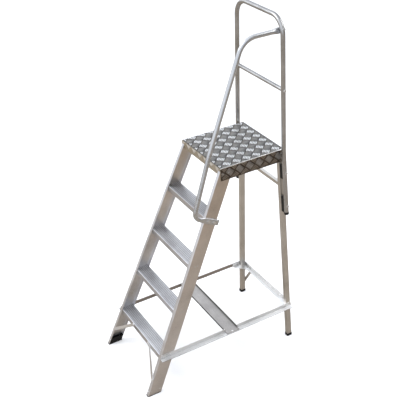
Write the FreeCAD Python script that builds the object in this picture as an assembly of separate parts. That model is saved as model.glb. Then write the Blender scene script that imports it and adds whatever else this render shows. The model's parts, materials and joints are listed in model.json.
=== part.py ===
import FreeCAD, Part
import math
import os

Vector = FreeCAD.Vector

# Platform step ladder, rigid, four treads and a guarded deck.
# Frame: +X to the climber's right, +Y towards the guarded rear, +Z up.
# Origin: on the floor under the middle of the bounding box.  Millimetres.

# ---------------------------------------------------------------- driving dimensions
DECK_HEIGHT = 1250.0        # floor to the top of the deck sheet
DECK_WIDTH = 406.0          # over the skirts, at the top
DECK_DEPTH = 397.0
DECK_SKIRT = 72.0           # depth of the side skirts
DECK_LIP = 44.0             # depth of the front lip
DECK_SHEET = 3.0
BASE_WIDTH = 544.0          # over the stiles, on the floor
BASE_LENGTH = 984.0         # front toe to rear heel, on the floor

STIFFENER_LEG = 28.0        # angles under the deck
STIFFENER_WALL = 2.5
STIFFENER_GAP = 0.5
STIFFENER_INSET = 16.0      # from the stiles at the front and the legs at the rear

STILE_LEAN = 0.4554         # rearward run per mm of height
STILE_DEPTH = 83.4          # horizontal depth of the channel
STILE_FLANGE = 20.0
STILE_WALL = 2.5
DECK_NOSE = 8.6             # deck edge stands this far in front of the stile line

TREAD_COUNT = 4
LOWEST_TREAD = 233.0        # floor to the top of the lowest tread
TREAD_PITCH = 253.0
TREAD_LIP = 34.0
TREAD_REAR_LIP = 22.0
TREAD_WALL = 2.5
RIB_COUNT = 6
RIB_HEIGHT = 1.4
RIB_WIDTH = 5.0             # at its foot
RIB_SLOPE = 1.0             # run of each sloping flank
RIB_OFFSET = 0.14           # ribs sit this share of their pitch behind even spacing
TREAD_TOE = 6.0             # the toe turned back under the front lip

LEG_LEAN = 0.0204           # rear legs run rearward as they go down
LEG_DEPTH = 30.0
LEG_WIDTH = 25.0
LEG_WALL = 2.0
LEG_ROUND = 2.0

OUTER_ROUND = 3.0           # outside corners of the channels
INNER_ROUND = 1.0           # inside corners
EDGE_ROUND = 0.8            # free edges
NOSE_ROUND = 2.5            # front edge of a tread
SKIRT_ROUND = 4.0           # folded edges of the deck sheet

FOOT_SOLE = 5.0             # plastic under the end of every stile and leg
FOOT_WALL = 2.5
FRONT_FOOT_HEIGHT = 38.0
REAR_FOOT_HEIGHT = 16.0
REAR_FOOT_WALL = 1.5

ANGLE = 25.0                # equal angle used for the base frame
ANGLE_WALL = 3.0
BASE_FRAME_Z = 219.0        # underside of the base frame angles
SIDE_FLANGE = 28.0          # outward flange of a side bar

CROSS_CHANNEL_Y = 70.0      # middle of the cross channel
CROSS_CHANNEL_WIDTH = 82.0
CROSS_CHANNEL_FLANGE = 12.0
CROSS_CHANNEL_WALL = 2.5
CROSS_CHANNEL_SETBACK = 4.0  # its ends stop short of the side bars' outer edges
GUSSET_WALL = 2.5
GUSSET_REACH = 92.0         # along the crossbar, from the side bar
GUSSET_FORWARD = 50.0       # along the side bar, in front of the leg
GUSSET_NOSE = 18.0          # width of the plate at its front end
GUSSET_HEEL = 16.0          # width of the plate at its inner end
GUSSET_TAB = 20.0           # height of the tab on the side bar
FRAME_GAP = 0.5             # play between base frame pieces
GUSSET_BOLT_GAP = 9.0       # bolt through side bar and gusset, in front of the leg

UPPER_BAR = 20.0            # square bar between the rear legs
UPPER_BAR_WALL = 2.0
UPPER_BAR_Z = 1022.0

TUBE = 25.0                 # guard frame and handrail tube
TUBE_WALL = 1.6
GUARD_TOP = 722.0           # deck to the middle of the top tube
GUARD_MID = 347.0           # deck to the middle of the mid rail
GUARD_HALF_WIDTH = 227.5    # middle of an upright, level with the deck
GUARD_TAPER = 0.026         # uprights lean inward above the deck
GUARD_CORNER = 90.0         # bend radius of the two top corners
GUARD_KNEE = 600.0          # soft bend of the uprights level with the deck
GUARD_END_Z = 880.0         # lower ends of the uprights
CAP_HEIGHT = 17.0
CAP_OVERHANG = 1.0
CAP_ROUND = 5.0
CAP_STEM = 18.0
MID_RAIL_TUBE = 22.0
MID_INSERT = 30.0           # length of the threaded insert in each end of the mid rail
SPACER_BOLTS_Z = (1122.0, 920.0)
SPACER_HEIGHTS = (78.0, 90.0)
SPACER_WIDTH = 24.0

RAIL_BEND_MAIN = 110.0      # handrail bend below its top run
RAIL_BEND_FOOT = 44.0
RAIL_BEND_SOFT = 700.0
RAIL_HEAD_TILT = 19.0       # the head is fixed this far round the guard's corner, in degrees
RAIL_HEAD_GAP = 1.8         # flat head to the hollow side of the bend
RAIL_FLAT_THICK = 10.0      # flattened ends of the handrail
RAIL_FLAT_WIDTH = 32.0
RAIL_FOOT_FLAT = 84.0       # length of the flattened lower end
RAIL_HEAD_FLAT = 34.0       # length of the flattened upper end
RAIL_BLEND = 28.0           # from flat to round
RAIL_GAP = 0.1              # play between a flattened end and its seat
RAIL_OVERRUN = 16.0         # the head runs this far past the middle of the upright
RAIL_REACH = 217.0          # upright to the corner of the top run
RAIL_FOOT_PLACE = (29.0, 948.0)     # y and z of the lower open end, on the stile
RAIL_HEEL_PLACE = (-109.0, 1017.0)  # y and z of the corner below the long run
RAIL_KNEE_PLACE = (209.5, 3.0, 1350.0)      # soft bend half way up
PLUG_LID = 3.0
PLUG_STEM = 12.0

BRACE_WIDTH = 18.0
BRACE_THICK = 3.0
BRACE_KNEE = 1.3            # fixing to bend, in brace widths
FRONT_BRACE_X = 95.0        # upper fixing of a front brace, on the tread lip
FRONT_BRACE_Z = 98.0        # lower fixing, on the stile
REAR_BRACE_X = 155.0        # upper fixing of a rear brace, on the crossbar
REAR_BRACE_Z = 78.0         # lower fixing, on the leg
BRACKET_WALL = 3.0
BRACKET_DROP = 16.0
BRACKET_REACH = 30.0
BRACKET_HALF = 15.0         # half the length of a tread bracket
BRACKET_FORWARD = 3.0       # brackets sit a little in front of the middle of the stile

DECK_STILE_SHARES = (0.3, 0.7)      # deck rivets across the stile, in stile depths
DECK_LEG_SHARES = (0.3, 0.7)        # deck rivets on the leg, down the skirt
FOOT_RIVET_Z = 26.0
FOOT_RIVET_SHARES = (0.155, 0.8)    # places across the stile, in stile depths
FLANGE_RIVET_SHARE = 0.6            # place on the front flange
SIDE_BAR_SHARES = (0.24, 0.76)      # side bar rivets across the stile
SIDE_RIVET_SHARE = 0.56             # their height up the angle
GUSSET_RIVETS = (42.0, 76.0)        # along the crossbar, from the side bar
RAIL_FOOT_BOLTS = (26.0, 62.0)      # along the flattened lower end

RIVET_SHANK = 2.4
RIVET_HEAD = 5.0
RIVET_HEAD_HEIGHT = 1.8
BOLT_SHANK = 4.0
BOLT_FLATS = 13.0
BOLT_HEAD_HEIGHT = 5.0
HEX_BEVEL = 0.9             # slope of the bevel on heads and nuts
HEX_RIM = 0.9               # radius left on top, of the corner radius
TUBE_SEAT = 0.3             # a flat head stands this far off the crest of a tube
BOLT_TIP = 3.0              # thread standing out of a nut
RIVET_TAIL = 4.0            # radius of the closed head behind
TAIL_HEIGHT = 1.6
SINK_DEPTH = 2.0            # countersunk heads
HOLE_PLAY = 0.15

# ---------------------------------------------------------------- derived places
HALF_LENGTH = BASE_LENGTH / 2
SPLAY = (BASE_WIDTH / 2 - (DECK_WIDTH / 2 - DECK_SHEET)) / (DECK_HEIGHT - DECK_SHEET)
DECK_UNDER = DECK_HEIGHT - DECK_SHEET
DECK_FRONT = -HALF_LENGTH + STILE_LEAN * DECK_HEIGHT - DECK_NOSE
DECK_REAR = DECK_FRONT + DECK_DEPTH
FLANGE_RUN = STILE_WALL * math.hypot(1.0, STILE_LEAN)
LEG_HEEL = HALF_LENGTH - BRACE_THICK - RIVET_HEAD_HEIGHT + LEG_LEAN * REAR_BRACE_Z
BASE_FRAME_TOP = BASE_FRAME_Z + ANGLE
BASE_FRAME_SEAT = BASE_FRAME_Z + ANGLE_WALL
TREAD_TOPS = [LOWEST_TREAD + TREAD_PITCH * number for number in range(TREAD_COUNT)]
SIDES = {"left": -1, "right": 1}

parts = {}


def side_face(z):
    """Distance from the middle plane to the outer face of the stiles and legs."""
    return BASE_WIDTH / 2 - SPLAY * z


def stile_front(z):
    """Y of the front face of the stiles."""
    return -HALF_LENGTH + STILE_LEAN * z


def stile_rear(z):
    return stile_front(z) + STILE_DEPTH


def leg_rear(z):
    """Y of the rear face of the rear legs."""
    return LEG_HEEL - LEG_LEAN * z


def leg_front(z):
    return leg_rear(z) - LEG_DEPTH


def guard_x(z):
    """Middle of the right upright: splayed with the legs below the deck, tapering in above it."""
    if z < DECK_HEIGHT:
        return GUARD_HALF_WIDTH + SPLAY * (DECK_HEIGHT - z)
    return GUARD_HALF_WIDTH - GUARD_TAPER * (z - DECK_HEIGHT)


def guard_y(z):
    """Middle of the uprights: along the legs below the deck, upright above it."""
    return leg_rear(min(z, DECK_HEIGHT)) - LEG_DEPTH / 2


# ---------------------------------------------------------------- shape helpers
def side_normal(side):
    """Outward unit normal of the splayed side plane."""
    return Vector(side, 0, SPLAY).normalize()


def front_normal():
    """Outward unit normal of the leaning front plane of the stiles."""
    return Vector(0, -1, STILE_LEAN).normalize()


def round_wire(points, radii):
    """Closed wire through the points, with an arc of the given radius at each one."""
    count = len(points)
    edges = []
    starts = []
    ends = []
    for number in range(count):
        here = points[number]
        before = (points[number - 1] - here).normalize()
        after = (points[(number + 1) % count] - here).normalize()
        radius = radii[number]
        if radius <= 0:
            starts.append(here)
            ends.append(here)
            continue
        half_angle = before.getAngle(after) / 2
        reach = radius / math.tan(half_angle)
        start = here + before * reach
        end = here + after * reach
        bisector = (before + after).normalize()
        middle = here + bisector * (radius / math.sin(half_angle) - radius)
        edges.append((number, Part.Arc(start, middle, end).toShape()))
        starts.append(start)
        ends.append(end)
    loop = []
    arcs = dict(edges)
    for number in range(count):
        if number in arcs:
            loop.append(arcs[number])
        following = (number + 1) % count
        if ends[number].distanceToPoint(starts[following]) > 1e-6:
            loop.append(Part.makeLine(ends[number], starts[following]))
    return Part.Wire(loop)


def extrude_outline(points, radii, run):
    return Part.Face(round_wire(points, radii)).extrude(run)


def extrude_x(profile, x0, x1, radii=None):
    """Profile of (y, z) pairs, extruded from x0 to x1."""
    points = [Vector(x0, y, z) for y, z in profile]
    return extrude_outline(points, radii or [0] * len(points), Vector(x1 - x0, 0, 0))


def extrude_y(profile, y0, y1, radii=None):
    """Profile of (x, z) pairs, extruded from y0 to y1."""
    points = [Vector(x, y0, z) for x, z in profile]
    return extrude_outline(points, radii or [0] * len(points), Vector(0, y1 - y0, 0))


def leaning_prism(outline, side, z0, z1, lean, radii=None):
    """Level outline of (x, y) pairs at z0, carried up to z1 along the splay and the lean."""
    points = [Vector(side * x, y, z0) for x, y in outline]
    rise = z1 - z0
    run = Vector(-side * SPLAY * rise, lean * rise, rise)
    return extrude_outline(points, radii or [0] * len(points), run)


def box_outline(x0, x1, y0, y1):
    return [(x0, y0), (x1, y0), (x1, y1), (x0, y1)]


def cylinder(start, direction, length, radius):
    return Part.makeCylinder(radius, length, start, direction)


def bent_path(points, radii):
    """Open wire of straight runs joined by tangent arcs."""
    edges = []
    last = points[0]
    for number in range(1, len(points) - 1):
        here = points[number]
        before = (points[number - 1] - here).normalize()
        after = (points[number + 1] - here).normalize()
        half_angle = before.getAngle(after) / 2
        radius = radii[number - 1]
        reach = radius / math.tan(half_angle)
        start = here + before * reach
        end = here + after * reach
        bisector = (before + after).normalize()
        middle = here + bisector * (radius / math.sin(half_angle) - radius)
        edges.append(Part.makeLine(last, start))
        edges.append(Part.Arc(start, middle, end).toShape())
        last = end
    edges.append(Part.makeLine(last, points[-1]))
    return Part.Wire(edges)


def pipe(path, radius):
    first = path.Edges[0]
    start = first.valueAt(first.FirstParameter)
    ring = Part.Wire(Part.makeCircle(radius, start, first.tangentAt(first.FirstParameter)))
    return path.makePipeShell([ring], True, False)


def hollow_pipe(path, diameter, wall):
    return pipe(path, diameter / 2).cut(pipe(path, diameter / 2 - wall))


# ---------------------------------------------------------------- fasteners
fasteners = {}


def drill(names, start, direction, length, radius):
    tool = cylinder(start, direction, length, radius)
    for name in names:
        parts[name] = parts[name].cut(tool)


def domed_head(seat, direction, radius, height):
    """Low domed head standing on its seat."""
    ball = (radius ** 2 + height ** 2) / (2 * height)
    rim = math.degrees(math.asin((ball - height) / ball))
    return Part.makeSphere(ball, seat + direction * (height - ball), direction, rim, 90, 360)


def rivet(group, names, seat, direction, grip, head="domed", tail=True):
    """Rivet: head on the seat, shank back through the grip, closed head behind unless it is blind."""
    back = direction * -1
    drill(names, seat, back, grip + (TAIL_HEIGHT if tail else 0), RIVET_SHANK + HOLE_PLAY)
    if head == "domed":
        shape = domed_head(seat, direction, RIVET_HEAD, RIVET_HEAD_HEIGHT)
    else:
        sink = Part.makeCone(RIVET_HEAD + HOLE_PLAY, RIVET_SHANK + HOLE_PLAY, SINK_DEPTH, seat, back)
        parts[names[0]] = parts[names[0]].cut(sink)
        shape = Part.makeCone(RIVET_HEAD, RIVET_SHANK, SINK_DEPTH, seat, back)
    shape = shape.fuse(cylinder(seat, back, grip, RIVET_SHANK))
    if tail:
        shape = shape.fuse(cylinder(seat + back * grip, back, TAIL_HEIGHT, RIVET_TAIL))
    fasteners.setdefault(group, []).append(shape.removeSplitter())


def hexagon(centre, direction, across_flats, height, bore=0.0):
    """Hexagonal prism with its outer rim bevelled, bored through for a nut."""
    radius = across_flats / math.sqrt(3)
    side = direction.cross(Vector(0, 0, 1)).normalize()
    other = direction.cross(side)
    corners = []
    for number in range(6):
        angle = math.radians(60 * number)
        corners.append(centre + side * (radius * math.cos(angle)) + other * (radius * math.sin(angle)))
    prism = Part.Face(Part.makePolygon(corners + [corners[0]])).extrude(direction * height)
    bevel = Part.makeCone(radius + HEX_BEVEL * height, HEX_RIM * radius, height, centre, direction)
    prism = prism.common(bevel)
    if bore > 0:
        prism = prism.cut(cylinder(centre, direction, height, bore))
    return prism


def bolt(group, seat, direction, length):
    """Hex bolt with its head on the seat and its shank running back from it."""
    head = hexagon(seat, direction, BOLT_FLATS, BOLT_HEAD_HEIGHT)
    shank = cylinder(seat, direction * -1, length, BOLT_SHANK)
    fasteners.setdefault(group, []).append(head.fuse(shank).removeSplitter())


def bolt_and_nut(group, names, seat, direction, grip):
    """Hex bolt through the named pieces, with a nut on the far face of the grip."""
    back = direction * -1
    drill(names, seat, back, grip, BOLT_SHANK + HOLE_PLAY)
    bolt(group + "_bolts", seat, direction, grip + BOLT_HEAD_HEIGHT + BOLT_TIP)
    nut = hexagon(seat + back * grip, back, BOLT_FLATS, BOLT_HEAD_HEIGHT, BOLT_SHANK)
    fasteners.setdefault(group + "_nuts", []).append(nut)


# ---------------------------------------------------------------- front ladder
def front_stile(side):
    """Channel with its web outside and its flanges pointing inward."""
    outer = side_face(FOOT_SOLE)
    y0 = stile_front(FOOT_SOLE)
    y1 = y0 + STILE_DEPTH
    inner = outer - STILE_WALL
    lip = outer - STILE_FLANGE
    outline = [(outer, y0), (outer, y1), (lip, y1), (lip, y1 - FLANGE_RUN),
               (inner, y1 - FLANGE_RUN), (inner, y0 + FLANGE_RUN), (lip, y0 + FLANGE_RUN), (lip, y0)]
    radii = [OUTER_ROUND] * 2 + [EDGE_ROUND] * 2 + [INNER_ROUND] * 2 + [EDGE_ROUND] * 2
    return leaning_prism(outline, side, FOOT_SOLE, DECK_UNDER, STILE_LEAN, radii)


def front_foot(side):
    """Plastic insert: a sole under the channel and a cup that plugs the channel's mouth."""
    outer = side_face(0)
    inner = outer - STILE_FLANGE - FOOT_WALL
    sole = leaning_prism(box_outline(outer, inner, stile_front(0), stile_rear(0)), side, 0, FOOT_SOLE,
                         STILE_LEAN, [OUTER_ROUND, 0, 0, OUTER_ROUND])
    level = FOOT_SOLE
    outer = side_face(level) - STILE_WALL
    inner = side_face(level) - STILE_FLANGE - FOOT_WALL
    front = stile_front(level) + FLANGE_RUN
    rear = stile_rear(level) - FLANGE_RUN
    plug = leaning_prism(box_outline(outer, inner, front, rear), side, level, FRONT_FOOT_HEIGHT, STILE_LEAN,
                         [INNER_ROUND, 0, 0, INNER_ROUND])
    wall = FOOT_WALL
    hollow = leaning_prism(box_outline(outer - wall, inner + wall, front + wall, rear - wall), side, level,
                           FRONT_FOOT_HEIGHT, STILE_LEAN)
    return sole.fuse(plug.cut(hollow)).removeSplitter()


def tread(top):
    """Ribbed tread extrusion: deep front lip with a toe turned back, and a set-back rear lip."""
    skin = top - RIB_HEIGHT
    under = skin - TREAD_WALL
    front = stile_front(top) + FLANGE_RUN
    rear = stile_rear(under) - FLANGE_RUN
    pitch = (rear - front) / (RIB_COUNT + 1)
    foot = RIB_WIDTH / 2
    crest = foot - RIB_SLOPE
    outline = [(front, top - TREAD_LIP), (front, top)]
    outline += [(front + pitch - foot - RIB_SLOPE, top), (front + pitch - foot, skin)]
    radii = [EDGE_ROUND, NOSE_ROUND, 0, 0]
    for number in range(1, RIB_COUNT + 1):
        middle = front + pitch * (number + RIB_OFFSET)
        outline += [(middle - foot, skin), (middle - crest, top)]
        outline += [(middle + crest, top), (middle + foot, skin)]
        radii += [0, 0, 0, 0]
    outline += [(rear, skin), (rear, under)]
    radii += [EDGE_ROUND, EDGE_ROUND]
    back = rear - STILE_LEAN * TREAD_REAR_LIP
    low = top - TREAD_REAR_LIP
    outline += [(back, under), (back, low), (back - TREAD_WALL, low), (back - TREAD_WALL, under)]
    radii += [0, EDGE_ROUND, EDGE_ROUND, INNER_ROUND]
    toe = front + TREAD_WALL
    low = top - TREAD_LIP
    heel = toe + TREAD_TOE
    outline += [(toe, under), (toe, low + TREAD_WALL), (heel, low + TREAD_WALL), (heel, low)]
    radii += [INNER_ROUND, 0, 0, 0]
    half = side_face(top) - STILE_WALL
    return extrude_x(outline, -half, half, radii)


def bracket_seat(top):
    """Height of the underside of a tread's skin."""
    return top - RIB_HEIGHT - TREAD_WALL


def bracket_middle(top):
    """Y of the middle of a tread bracket."""
    return stile_front(top) + STILE_DEPTH / 2 - BRACKET_FORWARD


def tread_bracket(side, top):
    """Angle cleat under one end of a tread, against the inside of the stile web."""
    seat = bracket_seat(top)
    low = seat - BRACKET_DROP
    under = seat - BRACKET_WALL
    face = side_face(seat) - STILE_WALL
    face_low = side_face(low) - STILE_WALL
    face_under = side_face(under) - STILE_WALL
    wall = BRACKET_WALL
    profile = [(face, seat), (face_low, low), (face_low - wall, low), (face_under - wall, under),
               (face - BRACKET_REACH, under), (face - BRACKET_REACH, seat)]
    middle = bracket_middle(top)
    return extrude_y([(side * x, z) for x, z in profile], middle - BRACKET_HALF, middle + BRACKET_HALF)


def build_front_ladder():
    for name, side in SIDES.items():
        parts["front_stile_" + name] = front_stile(side)
        parts["front_foot_" + name] = front_foot(side)
    brackets = []
    for number, top in enumerate(TREAD_TOPS, start=1):
        parts["tread_%d" % number] = tread(top)
        for side in SIDES.values():
            brackets.append(tread_bracket(side, top))
    parts["tread_brackets"] = Part.makeCompound(brackets)


# ---------------------------------------------------------------- deck
def deck():
    """Folded tray: top sheet, splayed side skirts and a front lip notched round the stiles."""
    low = DECK_HEIGHT - DECK_SKIRT
    outer_top = side_face(DECK_HEIGHT) + DECK_SHEET
    outer_low = side_face(low) + DECK_SHEET
    inner_low = side_face(low)
    inner_top = side_face(DECK_UNDER)
    profile = [(-outer_low, low), (-outer_top, DECK_HEIGHT), (outer_top, DECK_HEIGHT), (outer_low, low),
               (inner_low, low), (inner_top, DECK_UNDER), (-inner_top, DECK_UNDER), (-inner_low, low)]
    radii = [EDGE_ROUND, SKIRT_ROUND, SKIRT_ROUND, EDGE_ROUND, EDGE_ROUND, 0, 0, EDGE_ROUND]
    tray = extrude_y(profile, DECK_FRONT, DECK_REAR, radii)
    lip_low = DECK_HEIGHT - DECK_LIP
    lip_half_top = side_face(DECK_UNDER)
    lip_half_low = side_face(lip_low) - STILE_WALL
    lip_profile = [(-lip_half_low, lip_low), (-lip_half_top, DECK_UNDER), (lip_half_top, DECK_UNDER),
                   (lip_half_low, lip_low)]
    lip = extrude_y(lip_profile, DECK_FRONT, DECK_FRONT + DECK_SHEET)
    for name in SIDES:
        lip = lip.cut(parts["front_stile_" + name])
    lip = max(lip.Solids, key=lambda solid: solid.Volume)
    return tray.fuse(lip).removeSplitter()


def deck_stiffener(y):
    """Angle under the deck sheet, from skirt to skirt."""
    half = side_face(DECK_UNDER) - STIFFENER_GAP
    top = DECK_UNDER
    wall = STIFFENER_WALL
    leg = STIFFENER_LEG
    profile = [(y, top), (y + leg, top), (y + leg, top - wall), (y + wall, top - wall), (y + wall, top - leg),
               (y, top - leg)]
    return extrude_x(profile, -half, half, [0, EDGE_ROUND, EDGE_ROUND, INNER_ROUND, EDGE_ROUND, EDGE_ROUND])


def build_deck():
    parts["platform"] = deck()
    first = stile_rear(DECK_UNDER) + STIFFENER_INSET
    last = leg_front(DECK_UNDER) - STIFFENER_INSET - STIFFENER_LEG
    parts["deck_stiffener_front"] = deck_stiffener(first)
    parts["deck_stiffener_middle"] = deck_stiffener((first + last) / 2)
    parts["deck_stiffener_rear"] = deck_stiffener(last)


# ---------------------------------------------------------------- rear frame
def rear_leg(side):
    """Rectangular tube, splayed with the stiles and leaning slightly rearward to the floor."""
    outer = side_face(FOOT_SOLE)
    front = leg_front(FOOT_SOLE)
    rear = leg_rear(FOOT_SOLE)
    wall = LEG_WALL
    solid = leaning_prism(box_outline(outer, outer - LEG_WIDTH, front, rear), side, FOOT_SOLE, DECK_UNDER,
                          -LEG_LEAN, [LEG_ROUND] * 4)
    bore = leaning_prism(box_outline(outer - wall, outer - LEG_WIDTH + wall, front + wall, rear - wall), side,
                         FOOT_SOLE, DECK_UNDER, -LEG_LEAN, [EDGE_ROUND] * 4)
    return solid.cut(bore)


def rear_foot(side):
    """Plastic cap over the end of a leg."""
    outer = side_face(0) + REAR_FOOT_WALL
    inner = side_face(0) - LEG_WIDTH - REAR_FOOT_WALL
    y0 = leg_front(0) - REAR_FOOT_WALL
    y1 = leg_rear(0) + REAR_FOOT_WALL
    cap = leaning_prism(box_outline(outer, inner, y0, y1), side, 0, REAR_FOOT_HEIGHT, -LEG_LEAN,
                        [OUTER_ROUND] * 4)
    outer = side_face(FOOT_SOLE)
    pocket = leaning_prism(box_outline(outer, outer - LEG_WIDTH, leg_front(FOOT_SOLE), leg_rear(FOOT_SOLE)),
                           side, FOOT_SOLE, REAR_FOOT_HEIGHT, -LEG_LEAN, [LEG_ROUND] * 4)
    return cap.cut(pocket)


def upper_rear_crossbar():
    """Square tube welded between the rear legs, its ends cut to their splay."""
    level = UPPER_BAR_Z + UPPER_BAR / 2
    bar = UPPER_BAR / 2
    low = side_face(level - bar) - LEG_WIDTH
    high = side_face(level + bar) - LEG_WIDTH
    y = leg_front(level) + LEG_DEPTH / 2
    profile = [(-low, level - bar), (low, level - bar), (high, level + bar), (-high, level + bar)]
    solid = extrude_y(profile, y - bar, y + bar)
    hollow = UPPER_BAR - 2 * UPPER_BAR_WALL
    bore = Part.makeBox(2 * low, hollow, hollow, Vector(-low, y - hollow / 2, level - hollow / 2))
    return solid.cut(bore)


def lower_rear_crossbar():
    """Angle: upright flange across the backs of the legs, level flange forward between them."""
    back = leg_rear(BASE_FRAME_Z)
    back_top = leg_rear(BASE_FRAME_TOP)
    half = side_face(BASE_FRAME_Z)
    upright = [(back, BASE_FRAME_Z), (back + ANGLE_WALL, BASE_FRAME_Z),
               (back_top + ANGLE_WALL, BASE_FRAME_TOP), (back_top, BASE_FRAME_TOP)]
    solid = extrude_x(upright, -half, half)
    half = side_face(BASE_FRAME_Z) - LEG_WIDTH - FRAME_GAP
    depth = ANGLE - ANGLE_WALL
    shelf = Part.makeBox(2 * half, depth, ANGLE_WALL, Vector(-half, back - depth, BASE_FRAME_Z))
    return solid.fuse(shelf).removeSplitter()


def side_bar(side):
    """Angle on the outer faces of stile and leg, notched where the cross channel rests on it."""
    low = side_face(BASE_FRAME_Z)
    seat = side_face(BASE_FRAME_SEAT)
    top = side_face(BASE_FRAME_TOP)
    edge = low + SIDE_FLANGE
    profile = [(low, BASE_FRAME_Z), (edge, BASE_FRAME_Z), (edge, BASE_FRAME_SEAT),
               (seat + ANGLE_WALL, BASE_FRAME_SEAT), (top + ANGLE_WALL, BASE_FRAME_TOP),
               (top, BASE_FRAME_TOP)]
    front = stile_front(BASE_FRAME_Z)
    rear = leg_rear(BASE_FRAME_TOP)
    radii = [0, EDGE_ROUND, EDGE_ROUND, INNER_ROUND, EDGE_ROUND, 0]
    bar = extrude_y([(side * x, z) for x, z in profile], front, rear, radii)
    bevel = [(front, BASE_FRAME_Z), (stile_front(BASE_FRAME_TOP), BASE_FRAME_TOP), (front, BASE_FRAME_TOP)]
    bar = bar.cut(extrude_x(bevel, 0, side * BASE_WIDTH))
    notch_half = CROSS_CHANNEL_WIDTH / 2 + FRAME_GAP
    notch = Part.makeBox(2 * BASE_WIDTH, 2 * notch_half, ANGLE,
                         Vector(-BASE_WIDTH, CROSS_CHANNEL_Y - notch_half, BASE_FRAME_SEAT))
    return bar.cut(notch)


def cross_channel():
    """Shallow channel, flanges up; its web runs out over the side bars, where its flanges are cut back."""
    half = side_face(BASE_FRAME_SEAT) + SIDE_FLANGE - CROSS_CHANNEL_SETBACK
    flange_half = side_face(BASE_FRAME_SEAT) - FRAME_GAP
    front = CROSS_CHANNEL_Y - CROSS_CHANNEL_WIDTH / 2
    rear = CROSS_CHANNEL_Y + CROSS_CHANNEL_WIDTH / 2
    wall = CROSS_CHANNEL_WALL
    solid = Part.makeBox(2 * half, CROSS_CHANNEL_WIDTH, wall, Vector(-half, front, BASE_FRAME_SEAT))
    for y in (front, rear - wall):
        flange = Part.makeBox(2 * flange_half, wall, CROSS_CHANNEL_FLANGE,
                              Vector(-flange_half, y, BASE_FRAME_SEAT))
        solid = solid.fuse(flange)
    return solid.removeSplitter()


def corner_gusset(side):
    """Flat plate across the corner, on the crossbar's level flange, with a tab up against the side bar."""
    level = BASE_FRAME_SEAT
    tab_top = level + GUSSET_TAB
    wall = GUSSET_WALL
    outer = side_face(level)
    back = leg_rear(BASE_FRAME_TOP) - FRAME_GAP
    front = leg_front(level) - GUSSET_FORWARD
    leg_inner = outer - LEG_WIDTH - FRAME_GAP
    leg_y = leg_front(tab_top) - FRAME_GAP
    tip = outer - GUSSET_REACH
    outline = [(outer, front), (outer, leg_y), (leg_inner, leg_y), (leg_inner, back), (tip, back),
               (tip, back - GUSSET_HEEL), (outer - GUSSET_NOSE, front)]
    points = [Vector(side * x, y, level) for x, y in outline]
    plate = Part.Face(Part.makePolygon(points + [points[0]])).extrude(Vector(0, 0, wall))
    tab = [(outer, level), (side_face(tab_top), tab_top), (side_face(tab_top) - wall, tab_top),
           (outer - wall, level)]
    upstand = extrude_y([(side * x, z) for x, z in tab], front, leg_y)
    side_plane = [(0, level), (outer, level), (side_face(tab_top), tab_top), (0, tab_top)]
    keep = extrude_y([(side * x, z) for x, z in side_plane], front, back)
    return plate.fuse(upstand).common(keep).removeSplitter()


def build_rear_frame():
    for name, side in SIDES.items():
        parts["rear_leg_" + name] = rear_leg(side)
        parts["rear_foot_" + name] = rear_foot(side)
        parts["side_bar_" + name] = side_bar(side)
        parts["corner_gusset_" + name] = corner_gusset(side)
    parts["upper_rear_crossbar"] = upper_rear_crossbar()
    parts["lower_rear_crossbar"] = lower_rear_crossbar()
    parts["cross_channel"] = cross_channel()


# ---------------------------------------------------------------- knee braces
def leg_back_normal():
    return Vector(0, 1, LEG_LEAN).normalize()


def front_brace_ends(side):
    """Upper fixing on the lowest tread's lip, lower fixing on the stile's front flange."""
    top = Vector(side * FRONT_BRACE_X, stile_front(LOWEST_TREAD) + FLANGE_RUN, LOWEST_TREAD - TREAD_LIP / 2)
    x = side_face(FRONT_BRACE_Z) - STILE_FLANGE / 2
    return top, Vector(side * x, stile_front(FRONT_BRACE_Z), FRONT_BRACE_Z)


def rear_brace_ends(side):
    """Upper fixing on the back of the crossbar, lower fixing on the back of the leg."""
    top_z = BASE_FRAME_Z + ANGLE / 2
    top = Vector(side * REAR_BRACE_X, leg_rear(top_z) + ANGLE_WALL, top_z)
    x = side_face(REAR_BRACE_Z) - LEG_WIDTH / 2
    return top, Vector(side * x, leg_rear(REAR_BRACE_Z), REAR_BRACE_Z)


def build_knee_braces():
    back = leg_back_normal()
    for name, side in SIDES.items():
        top, low = front_brace_ends(side)
        parts["front_knee_brace_" + name] = bent_brace(top, Vector(0, -1, 0), low, front_normal())
        top, low = rear_brace_ends(side)
        parts["rear_knee_brace_" + name] = bent_brace(top, back, low, back)


def bent_brace(top, top_normal, low, low_normal):
    """Flat bar whose two ends are set flat on their seats and whose middle runs straight between them."""
    end = BRACE_WIDTH * BRACE_KNEE
    run = (low - top).normalize()
    top_run = (run - top_normal * run.dot(top_normal)).normalize()
    low_run = (run - low_normal * run.dot(low_normal)).normalize()
    knee_top = top + top_run * end
    knee_low = low - low_run * end
    middle_normal = (top_normal + low_normal).normalize()
    pieces = [end_pad(top, knee_top, top_normal), end_pad(low, knee_low, low_normal)]
    across = middle_normal.cross(knee_low - knee_top).normalize() * (BRACE_WIDTH / 2)
    middle = loft_bar(knee_top, top_normal, top_run, knee_low, low_normal, low_run, across)
    solid = middle.fuse(pieces)
    return solid.removeSplitter()


def end_pad(fixing, knee, normal):
    """Rounded end of a brace, from the fixing to the knee."""
    along = (knee - fixing).normalize()
    half = normal.cross(along).normalize() * (BRACE_WIDTH / 2)
    corners = [fixing - half, fixing + half, knee + half, knee - half]
    pad = Part.Face(Part.makePolygon(corners + [corners[0]])).extrude(normal * BRACE_THICK)
    return pad.fuse(cylinder(fixing, normal, BRACE_THICK, BRACE_WIDTH / 2))


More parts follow.
